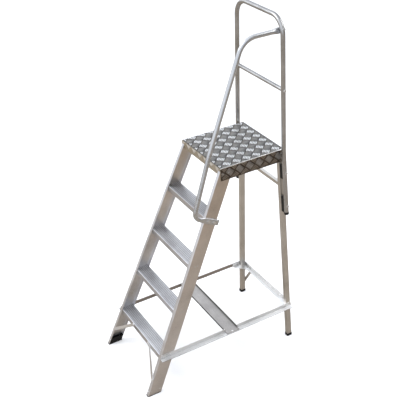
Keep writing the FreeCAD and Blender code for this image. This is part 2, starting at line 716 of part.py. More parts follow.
def loft_bar(start, start_normal, start_run, end, end_normal, end_run, across):
    """Straight middle of a brace between its two knees."""
    sections = []
    for point, normal, run in ((start, start_normal, start_run), (end, end_normal, end_run)):
        half = normal.cross(run).normalize() * (BRACE_WIDTH / 2)
        if half.dot(across) < 0:
            half = half * -1
        rise = normal * BRACE_THICK
        corners = [point - half, point + half, point + half + rise, point - half + rise]
        sections.append(Part.makePolygon(corners + [corners[0]]))
    return Part.makeLoft(sections, True, True)


# ---------------------------------------------------------------- guard frame
def guard_path():
    top = DECK_HEIGHT + GUARD_TOP
    right = [Vector(guard_x(z), guard_y(z), z) for z in (GUARD_END_Z, DECK_HEIGHT, top)]
    left = [Vector(-point.x, point.y, point.z) for point in reversed(right)]
    return bent_path(right + left, [GUARD_KNEE, GUARD_CORNER, GUARD_CORNER, GUARD_KNEE])


def guard_frame():
    """One bent tube: two uprights and the top rail."""
    return hollow_pipe(guard_path(), TUBE, TUBE_WALL)


def guard_tube_solid():
    return pipe(guard_path(), TUBE / 2)


def mid_rail():
    """Straight tube between the uprights, its ends shaped to them."""
    level = DECK_HEIGHT + GUARD_MID
    half = guard_x(level)
    path = Part.Wire(Part.makeLine(Vector(-half, guard_y(level), level), Vector(half, guard_y(level), level)))
    return hollow_pipe(path, MID_RAIL_TUBE, TUBE_WALL).cut(guard_tube_solid())


def mid_rail_insert(side):
    """Threaded insert in one end of the mid rail."""
    level = DECK_HEIGHT + GUARD_MID
    start = Vector(side * guard_x(level), guard_y(level), level)
    core = cylinder(start, Vector(-side, 0, 0), TUBE / 2 + MID_INSERT, MID_RAIL_TUBE / 2 - TUBE_WALL)
    return core.cut(guard_tube_solid())


def guard_end_cap(side):
    """Plastic plug in the lower end of an upright."""
    end = Vector(side * guard_x(GUARD_END_Z), guard_y(GUARD_END_Z), GUARD_END_Z)
    down = Vector(side * SPLAY, LEG_LEAN, -1).normalize()
    flange = cylinder(end, down, CAP_HEIGHT, TUBE / 2 + CAP_OVERHANG)
    rim = [edge for edge in flange.Edges
           if edge.Curve.TypeId == "Part::GeomCircle" and edge.Curve.Center.distanceToPoint(end) > CAP_ROUND]
    flange = flange.makeFillet(CAP_ROUND, rim)
    stem = cylinder(end, down * -1, CAP_STEM, TUBE / 2 - TUBE_WALL)
    return flange.fuse(stem).removeSplitter()


def guard_spacer(side, z, height):
    """Plastic block between leg and upright, hollowed to the tube and to the cap on its end."""
    low = z - height / 2
    front = guard_y(low) - SPACER_WIDTH / 2
    outline = box_outline(side_face(low), guard_x(low), front, front + SPACER_WIDTH)
    spacer = leaning_prism(outline, side, low, low + height, -LEG_LEAN)
    return spacer.cut(guard_tube_solid()).cut(guard_end_cap(side))


def build_guard():
    parts["guard_frame"] = guard_frame()
    parts["mid_rail"] = mid_rail()
    parts["mid_rail_inserts"] = Part.makeCompound([mid_rail_insert(side) for side in SIDES.values()])
    spacers = []
    for name, side in SIDES.items():
        parts["guard_end_cap_" + name] = guard_end_cap(side)
        for z, height in zip(SPACER_BOLTS_Z, SPACER_HEIGHTS):
            spacers.append(guard_spacer(side, z, height))
    parts["guard_spacers"] = Part.makeCompound(spacers)


# ---------------------------------------------------------------- handrail
RAIL_OFFSET = RAIL_FLAT_THICK / 2 + RAIL_GAP


def on_stile(y, z):
    """Point just outside the right stile's outer face, where the flattened foot of the rail lies."""
    return Vector(side_face(z) + RAIL_OFFSET, y, z)


def corner_centre():
    """Centre of the guard's right corner bend."""
    top = DECK_HEIGHT + GUARD_TOP
    corner = Vector(guard_x(top), guard_y(top), top)
    down = Vector(GUARD_TAPER, 0, -1).normalize()
    inward = Vector(-1, 0, 0)
    half_angle = down.getAngle(inward) / 2
    return corner + (down + inward).normalize() * (GUARD_CORNER / math.sin(half_angle))


def head_normal():
    """Outward normal of the bend where the head of the handrail is fixed."""
    tilt = math.radians(RAIL_HEAD_TILT)
    return Vector(math.cos(tilt), 0, math.sin(tilt))


def inside_corner(forward):
    """Middle of the flat head on the inner side of the bend, the given distance in front of it."""
    reach = GUARD_CORNER - TUBE / 2 - RAIL_HEAD_GAP - RAIL_FLAT_THICK / 2
    return corner_centre() + head_normal() * reach - Vector(0, forward, 0)


RAIL_FOOT = on_stile(*RAIL_FOOT_PLACE)
RAIL_HEEL = on_stile(*RAIL_HEEL_PLACE)
RAIL_KNEE = Vector(*RAIL_KNEE_PLACE)
RAIL_SHOULDER = inside_corner(RAIL_REACH)
RAIL_END = inside_corner(-RAIL_OVERRUN)


def oval_wire(centre, along, thin, width, thick):
    """Stadium section, square to the run and thin in the given direction."""
    thin = (thin - along * thin.dot(along)).normalize()
    tall = along.cross(thin)
    radius = thick / 2
    half = tall * (width / 2 - radius)
    side = thin * radius
    end = tall * (width / 2)
    a, b = centre + half + side, centre - half + side
    c, d = centre - half - side, centre + half - side
    return Part.Wire([Part.makeLine(a, b), Part.Arc(b, centre - end, c).toShape(),
                      Part.makeLine(c, d), Part.Arc(d, centre + end, a).toShape()])


def ring_wire(centre, along, thin, radius):
    """Round section in four quarters that meet the four edges of a stadium section."""
    thin = (thin - along * thin.dot(along)).normalize() * radius
    tall = along.cross(thin)
    corners = []
    for across, up in ((1, 1), (1, -1), (-1, -1), (-1, 1)):
        corners.append(centre + (thin * across + tall * up) * math.sqrt(0.5))
    middles = [centre + thin, centre - tall, centre - thin, centre + tall]
    arcs = []
    for number, middle in enumerate(middles):
        arcs.append(Part.Arc(corners[number], middle, corners[(number + 1) % 4]).toShape())
    return Part.Wire(arcs)


def flat_end_solid(end, along, thin, length, shrink):
    """Stadium run of the given length, then a blend up to the round tube."""
    knee = end + along * length
    blend = knee + along * RAIL_BLEND
    width = RAIL_FLAT_WIDTH - 2 * shrink
    thick = RAIL_FLAT_THICK - 2 * shrink
    flat = Part.Face(oval_wire(end, along, thin, width, thick)).extrude(along * length)
    taper = Part.makeLoft([oval_wire(knee, along, thin, width, thick),
                           ring_wire(blend, along, thin, TUBE / 2 - shrink)], True, True)
    return flat.fuse(taper)


def flat_end(end, along, thin, length):
    """Flattened, open end of the handrail tube."""
    outside = flat_end_solid(end, along, thin, length, 0)
    return outside.cut(flat_end_solid(end, along, thin, length, TUBE_WALL))


def rail_runs():
    """Unit directions from the two open ends of the handrail into the tube."""
    return (RAIL_HEEL - RAIL_FOOT).normalize(), (RAIL_SHOULDER - RAIL_END).normalize()


def handrail():
    """One bent tube with both ends flattened."""
    foot_run, head_run = rail_runs()
    start = RAIL_FOOT + foot_run * (RAIL_FOOT_FLAT + RAIL_BLEND)
    finish = RAIL_END + head_run * (RAIL_HEAD_FLAT + RAIL_BLEND)
    path = bent_path([start, RAIL_HEEL, RAIL_KNEE, RAIL_SHOULDER, finish],
                     [RAIL_BEND_FOOT, RAIL_BEND_SOFT, RAIL_BEND_MAIN])
    rail = hollow_pipe(path, TUBE, TUBE_WALL)
    rail = rail.fuse(flat_end(RAIL_FOOT, foot_run, side_normal(1), RAIL_FOOT_FLAT))
    rail = rail.fuse(flat_end(RAIL_END, head_run, head_normal(), RAIL_HEAD_FLAT))
    return rail.removeSplitter()


def rail_plug(end, run, thin):
    """Plastic plug closing a flattened end of the handrail."""
    lid = Part.Face(oval_wire(end, run, thin, RAIL_FLAT_WIDTH, RAIL_FLAT_THICK)).extrude(run * -PLUG_LID)
    width = RAIL_FLAT_WIDTH - 2 * TUBE_WALL
    thick = RAIL_FLAT_THICK - 2 * TUBE_WALL
    stem = Part.Face(oval_wire(end, run, thin, width, thick)).extrude(run * PLUG_STEM)
    return lid.fuse(stem).removeSplitter()


def build_handrail():
    parts["handrail"] = handrail()
    foot_run, head_run = rail_runs()
    plugs = [rail_plug(RAIL_FOOT, foot_run, side_normal(1)), rail_plug(RAIL_END, head_run, head_normal())]
    parts["handrail_end_plugs"] = Part.makeCompound(plugs)


# ---------------------------------------------------------------- fixing the pieces together
def on_side(side, y, z, stand_off=0.0):
    """Point on the splayed side plane, or outside it by the level distance given."""
    return Vector(side * (side_face(z) + stand_off), y, z)


def across_side(thickness):
    """Level thickness measured square to the splayed side plane."""
    return thickness / math.hypot(1.0, SPLAY)


def across_front(run):
    """Level thickness measured square to the leaning front plane."""
    return run / math.hypot(1.0, STILE_LEAN)


def fix_treads():
    for number, top in enumerate(TREAD_TOPS, start=1):
        seat_z = bracket_seat(top)
        middle = bracket_middle(top)
        for name, side in SIDES.items():
            z = seat_z - (BRACKET_DROP + BRACKET_WALL) / 2
            grip = across_side(STILE_WALL + BRACKET_WALL)
            for offset in (-BRACKET_HALF / 2, BRACKET_HALF / 2):
                seat = on_side(side, middle + offset, z)
                rivet("tread_rivets", ["front_stile_" + name, "tread_brackets"], seat, side_normal(side),
                      grip, head="flush")
            under = seat_z - BRACKET_WALL
            x = side_face(seat_z) - STILE_WALL - (BRACKET_REACH + BRACKET_WALL) / 2
            seat = Vector(side * x, middle, under)
            rivet("tread_seat_rivets", ["tread_brackets", "tread_%d" % number], seat, Vector(0, 0, -1),
                  BRACKET_WALL + TREAD_WALL / 2, tail=False)


def fix_deck():
    z = DECK_HEIGHT - DECK_SKIRT / 2
    for name, side in SIDES.items():
        grip = across_side(DECK_SHEET + STILE_WALL)
        for share in DECK_STILE_SHARES:
            seat = on_side(side, stile_front(z) + share * STILE_DEPTH, z, DECK_SHEET)
            rivet("platform_rivets", ["platform", "front_stile_" + name], seat, side_normal(side), grip,
                  head="flush")
        grip = across_side(DECK_SHEET + LEG_WALL)
        for share in DECK_LEG_SHARES:
            height = DECK_HEIGHT - share * DECK_SKIRT
            seat = on_side(side, leg_rear(height) - LEG_DEPTH / 2, height, DECK_SHEET)
            rivet("platform_rivets", ["platform", "rear_leg_" + name], seat, side_normal(side), grip,
                  head="flush")


def fix_feet():
    z = FOOT_RIVET_Z
    for name, side in SIDES.items():
        names = ["front_stile_" + name, "front_foot_" + name]
        for share in FOOT_RIVET_SHARES:
            seat = on_side(side, stile_front(z) + share * STILE_DEPTH, z)
            rivet("front_foot_rivets", names, seat, side_normal(side), across_side(STILE_WALL + FOOT_WALL))
        seat = Vector(side * (side_face(z) - FLANGE_RIVET_SHARE * STILE_FLANGE), stile_front(z), z)
        rivet("front_foot_rivets", names, seat, front_normal(), across_front(FLANGE_RUN + FOOT_WALL))


def fix_side_bar(name, side):
    z = BASE_FRAME_Z + SIDE_RIVET_SHARE * ANGLE
    bar = "side_bar_" + name
    for share in SIDE_BAR_SHARES:
        seat = on_side(side, stile_front(z) + share * STILE_DEPTH, z, ANGLE_WALL)
        rivet("side_bar_rivets", [bar, "front_stile_" + name], seat, side_normal(side),
              across_side(ANGLE_WALL + STILE_WALL), tail=False)
    seat = on_side(side, leg_rear(z) - LEG_DEPTH / 2, z, ANGLE_WALL)
    rivet("side_bar_rivets", [bar, "rear_leg_" + name], seat, side_normal(side),
          across_side(ANGLE_WALL + LEG_WALL))
    seat = on_side(side, leg_front(z) - BOLT_FLATS, z, ANGLE_WALL)
    bolt_and_nut("side_bar", [bar, "corner_gusset_" + name], seat, side_normal(side),
                 across_side(ANGLE_WALL + GUSSET_WALL))


def fix_base_frame():
    up = Vector(0, 0, 1)
    for name, side in SIDES.items():
        fix_side_bar(name, side)
        seat = Vector(side * (side_face(BASE_FRAME_SEAT) + SIDE_FLANGE / 2), CROSS_CHANNEL_Y,
                      BASE_FRAME_SEAT + CROSS_CHANNEL_WALL)
        rivet("cross_channel_rivets", ["cross_channel", "side_bar_" + name], seat, up,
              CROSS_CHANNEL_WALL + ANGLE_WALL)
        for inward in GUSSET_RIVETS:
            x = side_face(BASE_FRAME_SEAT) - inward
            y = leg_rear(BASE_FRAME_SEAT) - GUSSET_HEEL / 2
            seat = Vector(side * x, y, BASE_FRAME_SEAT + GUSSET_WALL)
            rivet("corner_gusset_rivets", ["corner_gusset_" + name, "lower_rear_crossbar"], seat, up,
                  GUSSET_WALL + ANGLE_WALL)
        z = BASE_FRAME_Z + SIDE_RIVET_SHARE * ANGLE
        seat = Vector(side * (side_face(z) - LEG_WIDTH / 2), leg_rear(z) + ANGLE_WALL, z)
        rivet("crossbar_rivets", ["lower_rear_crossbar", "rear_leg_" + name], seat, leg_back_normal(),
              ANGLE_WALL + LEG_WALL)


def fix_knee_braces():
    forward = Vector(0, -1, 0)
    back = leg_back_normal()
    for name, side in SIDES.items():
        brace = "front_knee_brace_" + name
        top, low = front_brace_ends(side)
        rivet("front_brace_rivets", [brace, "tread_1"], top + forward * BRACE_THICK, forward,
              BRACE_THICK + TREAD_WALL)
        rivet("front_brace_rivets", [brace, "front_stile_" + name], low + front_normal() * BRACE_THICK,
              front_normal(), BRACE_THICK + STILE_WALL)
        brace = "rear_knee_brace_" + name
        top, low = rear_brace_ends(side)
        rivet("rear_brace_rivets", [brace, "lower_rear_crossbar"], top + back * BRACE_THICK, back,
              BRACE_THICK + ANGLE_WALL)
        rivet("rear_brace_rivets", [brace, "rear_leg_" + name], low + back * BRACE_THICK, back,
              BRACE_THICK + LEG_WALL)


def fix_guard():
    level = DECK_HEIGHT + GUARD_MID
    for name, side in SIDES.items():
        for z in SPACER_BOLTS_Z:
            outer = guard_x(z) + TUBE / 2 + TUBE_SEAT
            grip = across_side(outer - side_face(z) + LEG_WIDTH)
            bolt_and_nut("guard", ["guard_frame", "guard_spacers", "rear_leg_" + name],
                         Vector(side * outer, guard_y(z), z), side_normal(side), grip)
        outward = Vector(side, 0, 0)
        seat = Vector(side * (guard_x(level) + TUBE / 2 + TUBE_SEAT), guard_y(level), level)
        length = TUBE + MID_INSERT / 2
        drill(["guard_frame", "mid_rail_inserts"], seat, outward * -1, length, BOLT_SHANK + HOLE_PLAY)
        bolt("mid_rail_bolts", seat, outward, length)


def fix_handrail():
    foot_run = rail_runs()[0]
    normal = side_normal(1)
    for reach in RAIL_FOOT_BOLTS:
        seat = RAIL_FOOT + foot_run * reach + normal * (RAIL_FLAT_THICK / 2)
        bolt_and_nut("handrail", ["handrail", "handrail_end_plugs", "front_stile_right"], seat, normal,
                     RAIL_FLAT_THICK + RAIL_GAP + STILE_WALL)
    normal = head_normal()
    seat = corner_centre() + normal * (GUARD_CORNER + TUBE / 2 + TUBE_SEAT)
    bolt_and_nut("handrail", ["guard_frame", "handrail", "handrail_end_plugs"], seat, normal,
                 TUBE_SEAT + TUBE + RAIL_HEAD_GAP + RAIL_FLAT_THICK)


# ---------------------------------------------------------------- build and write
def write_parts():
    os.makedirs("parts", exist_ok=True)
    for group, solids in fasteners.items():
        parts[group] = Part.makeCompound(solids)
    for name, shape in sorted(parts.items()):
        shape.exportStep("parts/%s.step" % name)
        box = shape.BoundBox
        print("%-26s solids %2d  valid %s  volume %10.1f  x %7.1f %7.1f  y %7.1f %7.1f  z %7.1f %7.1f" % (
            name, len(shape.Solids), shape.isValid(), shape.Volume,
            box.XMin, box.XMax, box.YMin, box.YMax, box.ZMin, box.ZMax))


build_front_ladder()
build_deck()
build_rear_frame()
build_knee_braces()
build_guard()
build_handrail()
fix_treads()
fix_deck()
fix_feet()
fix_base_frame()
fix_knee_braces()
fix_guard()
fix_handrail()
write_parts()
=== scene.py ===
import json
import math
import random

import bmesh
import bpy
from mathutils import Matrix, Vector


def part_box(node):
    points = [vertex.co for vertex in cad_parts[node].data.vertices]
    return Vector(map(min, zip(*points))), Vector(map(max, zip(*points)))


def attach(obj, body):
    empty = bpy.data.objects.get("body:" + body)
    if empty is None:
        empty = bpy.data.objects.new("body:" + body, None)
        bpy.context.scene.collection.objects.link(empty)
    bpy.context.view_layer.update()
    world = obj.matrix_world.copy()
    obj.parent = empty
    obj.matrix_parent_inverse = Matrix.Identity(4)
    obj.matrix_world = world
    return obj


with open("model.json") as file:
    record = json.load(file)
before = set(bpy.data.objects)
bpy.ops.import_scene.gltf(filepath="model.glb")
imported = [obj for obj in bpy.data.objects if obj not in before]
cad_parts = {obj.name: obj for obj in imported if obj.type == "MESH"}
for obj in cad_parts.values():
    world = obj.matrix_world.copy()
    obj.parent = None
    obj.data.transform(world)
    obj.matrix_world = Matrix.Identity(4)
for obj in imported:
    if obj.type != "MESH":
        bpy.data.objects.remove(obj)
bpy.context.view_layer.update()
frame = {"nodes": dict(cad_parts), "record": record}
nodes = frame["nodes"]
random.seed(11)

# Platform step ladder.  Metres, Z up, the handrail on the +X side.


def colour(red, green, blue):
    """An opaque colour, as a colour socket takes it."""
    return (red, green, blue, 1)


# ---------------------------------------------------------------- numbers of the camera, light and floor
CAMERA_PLACE = Vector((3.3215, -1.7517, 3.2515))
CAMERA_YAW = math.radians(61.5007)
CAMERA_PITCH = math.radians(-31.1325)
CAMERA_ROLL = math.radians(-3.0184)
CAMERA_LENS = 72.30
CAMERA_REACH = 60

SKY_STRENGTH = 1.25
SKY_SEEN = colour(0.92, 0.95, 1.0)
SKY_DARK_SIDE = (0.56, 0.83, 0.02)      # where the reflected sky is darkest
SKY_REFLECTED = ((0.15, colour(0.90, 0.94, 1.0)), (0.75, colour(0.16, 0.155, 0.15)))

FLOOR_HALF = 30
FLOOR_SEEN = colour(0.98, 0.98, 0.98)
FLOOR_ROUGHNESS = 0.9
FLOOR_SPECULAR = 0.1
FLOOR_REFLECTED = colour(0.33, 0.285, 0.235)

# Name, place, target, size and power of each soft light.
LIGHTS = (("key", (-2.0, -2.6, 5.0), (0, 0, 0.8), 3.0, 120),
          ("rim", (1.5, 3.6, 4.2), (0, 0, 0.9), 2.5, 70))

# ---------------------------------------------------------------- places read from the frame
STILE_DEPTH = 0.0834        # level, from the front of the channel to its back
REAR_LEAN = 0.0204          # of the rear legs, backwards for each metre down
deck_low, deck_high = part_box("platform")
stile_low, stile_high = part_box("front_stile_right")
DECK_TOP = deck_high.z
DECK_DROP = DECK_TOP - deck_low.z
SOLE = stile_low.z          # the channels and tubes end this far above the floor
SPLAY = (stile_high.x - deck_high.x) / (DECK_TOP - SOLE)
FRONT_LEAN = (stile_high.y - stile_low.y - STILE_DEPTH) / (stile_high.z - stile_low.z)
STILE_ANGLE = math.atan(FRONT_LEAN)
LEG_ANGLE = math.atan(REAR_LEAN)
FOLD_X = deck_high.x - SPLAY * DECK_DROP        # where the deck folds down into its skirts
LOWEST_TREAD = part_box("tread_1")[1].z
TREAD_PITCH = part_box("tread_2")[1].z - LOWEST_TREAD


# ---------------------------------------------------------------- camera, light and floor
def make_camera():
    """Camera from its yaw, pitch and roll: yaw 0 looks along +Y and turns towards -X."""
    look = Vector((-math.sin(CAMERA_YAW) * math.cos(CAMERA_PITCH),
                   math.cos(CAMERA_YAW) * math.cos(CAMERA_PITCH),
                   math.sin(CAMERA_PITCH)))
    level = Vector((math.cos(CAMERA_YAW), math.sin(CAMERA_YAW), 0))
    upright = level.cross(look)
    right = math.cos(CAMERA_ROLL) * level + math.sin(CAMERA_ROLL) * upright
    up = math.cos(CAMERA_ROLL) * upright - math.sin(CAMERA_ROLL) * level
    turn = Matrix((right, up, -look)).transposed().to_4x4()
    data = bpy.data.cameras.new("camera")
    data.lens = CAMERA_LENS
    data.clip_end = CAMERA_REACH
    camera = bpy.data.objects.new("camera", data)
    camera.matrix_world = Matrix.Translation(CAMERA_PLACE) @ turn
    bpy.context.scene.collection.objects.link(camera)
    bpy.context.scene.camera = camera


def area_light(name, place, target, size, power):
    """White square light at a place, turned towards its target."""
    data = bpy.data.lights.new(name, "AREA")
    data.size = size
    data.energy = power
    light = bpy.data.objects.new(name, data)
    light.location = place
    light.rotation_euler = (Vector(target) - Vector(place)).to_track_quat("-Z", "Y").to_euler()
    bpy.context.scene.collection.objects.link(light)


MIX_SHARE, MIX_FIRST, MIX_SECOND, MIX_RESULT = 0, 6, 7, 2      # sockets of a Mix node set to colours


def make_sky():
    """Plain pale sky, darker towards one side in reflections only, so that round tubes get a dark edge."""
    world = bpy.data.worlds.new("sky")
    world.use_nodes = True
    tree = world.node_tree
    background = tree.nodes["Background"]
    background.inputs["Strength"].default_value = SKY_STRENGTH
    direction = tree.nodes.new("ShaderNodeTexCoord").outputs["Generated"]
    towards_dark = tree.nodes.new("ShaderNodeVectorMath")
    towards_dark.operation = "DOT_PRODUCT"
    towards_dark.inputs[1].default_value = SKY_DARK_SIDE
    tree.links.new(direction, towards_dark.inputs[0])
    ramp = tree.nodes.new("ShaderNodeValToRGB")
    for stop, (position, shade) in zip(ramp.color_ramp.elements, SKY_REFLECTED):
        stop.position, stop.color = position, shade
    tree.links.new(towards_dark.outputs["Value"], ramp.inputs[0])
    sky = tree.nodes.new("ShaderNodeMix")
    sky.data_type = "RGBA"
    sky.inputs[MIX_FIRST].default_value = SKY_SEEN
    tree.links.new(tree.nodes.new("ShaderNodeLightPath").outputs["Is Glossy Ray"], sky.inputs[MIX_SHARE])
    tree.links.new(ramp.outputs[0], sky.inputs[MIX_SECOND])
    tree.links.new(sky.outputs[MIX_RESULT], background.inputs["Color"])
    bpy.context.scene.world = world


def floor_material():
    """Pale and matt, but warmer and darker in the reflections on the metal."""
    material = bpy.data.materials.new("floor")
    material.use_nodes = True
    tree = material.node_tree
    seen = tree.nodes["Principled BSDF"]
    seen.inputs["Roughness"].default_value = FLOOR_ROUGHNESS
    seen.inputs["Specular IOR Level"].default_value = FLOOR_SPECULAR
    seen.inputs["Base Color"].default_value = FLOOR_SEEN
    reflected = tree.nodes.new("ShaderNodeBsdfDiffuse")
    reflected.inputs["Color"].default_value = FLOOR_REFLECTED
    path = tree.nodes.new("ShaderNodeLightPath")
    mix = tree.nodes.new("ShaderNodeMixShader")
    tree.links.new(path.outputs["Is Glossy Ray"], mix.inputs["Fac"])
    tree.links.new(seen.outputs[0], mix.inputs[1])
    tree.links.new(reflected.outputs[0], mix.inputs[2])
    tree.links.new(mix.outputs[0], tree.nodes["Material Output"].inputs["Surface"])
    return material


def make_stage():
    """Pale floor, an even pale sky and two soft lights."""
    mesh = bpy.data.meshes.new("floor")
    corners = [(x * FLOOR_HALF, y * FLOOR_HALF, 0) for x, y in ((-1, -1), (1, -1), (1, 1), (-1, 1))]
    mesh.from_pydata(corners, [], [(0, 1, 2, 3)])
    mesh.materials.append(floor_material())
    floor = bpy.data.objects.new("floor", mesh)
    bpy.context.scene.collection.objects.link(floor)
    make_sky()
    for light in LIGHTS:
        area_light(*light)
    bpy.context.scene.view_settings.view_transform = "Standard"


# ---------------------------------------------------------------- materials
class Shader:
    """A short way to write one procedural material: every helper adds a node and returns its output."""

    def __init__(self, name):
        self.material = bpy.data.materials.new(name)
        self.material.use_nodes = True
        self.tree = self.material.node_tree
        self.principled = self.tree.nodes["Principled BSDF"]
        self.place = self.node("ShaderNodeTexCoord").outputs["Object"]

    def node(self, kind, **settings):
        made = self.tree.nodes.new(kind)
        for key, value in settings.items():
            setattr(made, key, value)
        return made

    def put(self, value, socket):
        """Links an output to the socket, or sets the socket to a plain value."""
        if isinstance(value, bpy.types.NodeSocket):
            self.tree.links.new(value, socket)
        else:
            socket.default_value = value

    def stretched(self, grain, tilt):
        """Coordinates for marks that are long along one axis, tilted about X."""
        mapping = self.node("ShaderNodeMapping", vector_type="TEXTURE")
        self.put(self.place, mapping.inputs["Vector"])
        mapping.inputs["Scale"].default_value = grain
        mapping.inputs["Rotation"].default_value = tilt
        return mapping.outputs[0]

    def noise(self, vector, scale, detail, roughness=0.5):
        made = self.node("ShaderNodeTexNoise")
        self.put(vector, made.inputs["Vector"])
        made.inputs["Scale"].default_value = scale
        made.inputs["Detail"].default_value = detail
        made.inputs["Roughness"].default_value = roughness
        return made.outputs["Fac"]

    def remap(self, value, source, target):
        """Moves a value from one range to another, and keeps it inside that."""
        made = self.node("ShaderNodeMapRange")
        self.put(value, made.inputs["Value"])
        for name, number in zip(("From Min", "From Max", "To Min", "To Max"), (*source, *target)):
            made.inputs[name].default_value = number
        return made.outputs[0]

    def combine(self, first, second, operation="ADD"):
        made = self.node("ShaderNodeMath", operation=operation)
        self.put(first, made.inputs[0])
        self.put(second, made.inputs[1])
        return made.outputs[0]

    def mix(self, share, first, second, blend="MIX"):
        made = self.node("ShaderNodeMix", data_type="RGBA", blend_type=blend)
        self.put(share, made.inputs[MIX_SHARE])
        self.put(first, made.inputs[MIX_FIRST])
        self.put(second, made.inputs[MIX_SECOND])
        return made.outputs[MIX_RESULT]

    def tinted(self, share, tone, tint):
        """The tone, multiplied by a tint where the share says so."""
        return self.mix(share, tone, self.mix(1.0, tone, colour(*tint), "MULTIPLY"))

    def component(self, vector, axis):
        split = self.node("ShaderNodeSeparateXYZ")
        self.put(vector, split.inputs[0])
        return split.outputs["XYZ".index(axis)]

    def coordinate(self, axis):
        return self.component(self.place, axis)

    def facing(self, axis):
        """One component of the surface's own normal."""
        return self.component(self.node("ShaderNodeNewGeometry").outputs["Normal"], axis)

    def bump(self, height, strength, distance):
        made = self.node("ShaderNodeBump")
        self.put(height, made.inputs["Height"])
        made.inputs["Strength"].default_value = strength
        made.inputs["Distance"].default_value = distance
        self.put(made.outputs[0], self.principled.inputs["Normal"])


WHOLE = (0.0, 1.0)              # nothing to everything
# Painted shade in the grooves between the ribs of the treads.
GROOVE_SHADE_START = (0.0007, 0.0012)  # depths below a tread's top between which the painted shade sets in
GROOVE_SHADE_END = (0.0016, 0.0019)    # and, below the grooves, stops again
GROOVE_SHADE_STRENGTH = 0.75
GROOVE_SHADE_TONE = (0.40, 0.395, 0.39)


def groove_shade_share(made):
    """Painted shade between the ribs: the level faces that lie just below the tops of the treads."""
    above = made.combine(made.coordinate("Z"), LOWEST_TREAD - TREAD_PITCH / 2, "SUBTRACT")
    within = made.node("ShaderNodeMath", operation="WRAP")
    made.put(above, within.inputs[0])
    within.inputs[1].default_value = TREAD_PITCH
    within.inputs[2].default_value = 0.0
    depth = made.combine(TREAD_PITCH / 2, within.outputs[0], "SUBTRACT")
    low = made.remap(depth, GROOVE_SHADE_START, (0.0, GROOVE_SHADE_STRENGTH))
    shallow = made.remap(depth, GROOVE_SHADE_END, (1.0, 0.0))
    level = made.remap(made.facing("Z"), (0.6, 0.9), WHOLE)
    return made.combine(made.combine(low, shallow, "MULTIPLY"), level, "MULTIPLY")


LINE_DARKNESS = 0.82            # of the drawing lines, as a share of the darker end of the colour
SPECK_DARKNESS = 0.55


def darker(tone, share):
    return colour(*[share * value for value in tone])


def aluminium(name, light, dark, rough, grain, tilt=(0, 0, 0), painted_shading=(), spots=0.0, grooves=False):
    """Mill finish aluminium: drawing lines along the grain, cloudy handling marks, fine scratches.

    light and dark are the two ends of its cloudy colour, and spots is the strength of its dark specks.
    Its tints of painted light and shade go on the faces that look along an axis, everywhere or fading in
    between two places.
    """
    made = Shader(name)
    lines = made.noise(made.stretched(grain, tilt), scale=1.0, detail=4.0, roughness=0.6)
    clouds = made.noise(made.place, scale=7.0, detail=5.0, roughness=0.62)
    specks = made.noise(made.place, scale=160.0, detail=4.0, roughness=0.7)
    tone = made.mix(made.remap(clouds, (0.32, 0.68), WHOLE), colour(*dark), colour(*light))
    tone = made.mix(made.remap(lines, (0.35, 0.65), (0.0, 0.30)), tone, darker(dark, LINE_DARKNESS))
    if spots:
        tone = made.mix(made.remap(specks, (0.52, 0.75), (0.0, spots)), tone, darker(dark, SPECK_DARKNESS))
    # painted shade in the grooves of the treads
    if grooves:
        tone = made.mix(groove_shade_share(made), tone, colour(*GROOVE_SHADE_TONE))
    # Painted light and shade: each tint goes on the faces that look along its axis.
    for axis, tint, where in painted_shading:
        sign = -1 if axis[0] == "-" else 1
        share = made.remap(made.facing(axis[-1]), (sign * 0.5, sign * 0.95), WHOLE)
        if where:
            span, start, end = where
            share = made.combine(share, made.remap(made.coordinate(span), (start, end), WHOLE), "MULTIPLY")
        tone = made.tinted(share, tone, tint)
    made.put(tone, made.principled.inputs["Base Color"])
    made.principled.inputs["Metallic"].default_value = 1.0
    blur = made.combine(made.remap(lines, (0.3, 0.7), (rough - 0.06, rough + 0.08)),
                        made.remap(clouds, (0.3, 0.7), (-0.05, 0.07)))
    blur = made.combine(blur, made.remap(specks, (0.45, 0.7), (0.0, 0.06)))
    made.put(blur, made.principled.inputs["Roughness"])
    made.bump(made.combine(lines, made.remap(specks, WHOLE, (0.0, 0.25))), strength=0.25, distance=0.0004)
    return made.material


# Painted highlight along the rounded edge of the fold, across and down: it fades in between the two places
# of each.
FOLD_HIGHLIGHT_ACROSS = (FOLD_X - 0.0040, FOLD_X - 0.0025)
FOLD_HIGHLIGHT_DOWN = (DECK_TOP - 0.0048, DECK_TOP - 0.0036)
# painted warm reflection of the floor on the steep faces of the sheet
STEEP_PAINTED_REFLECTION = (1.0, 0.86, 0.72)
# painted light on the faces that look forward
FRONT_PAINTED_LIGHT = (0.93, 0.85, 0.70)


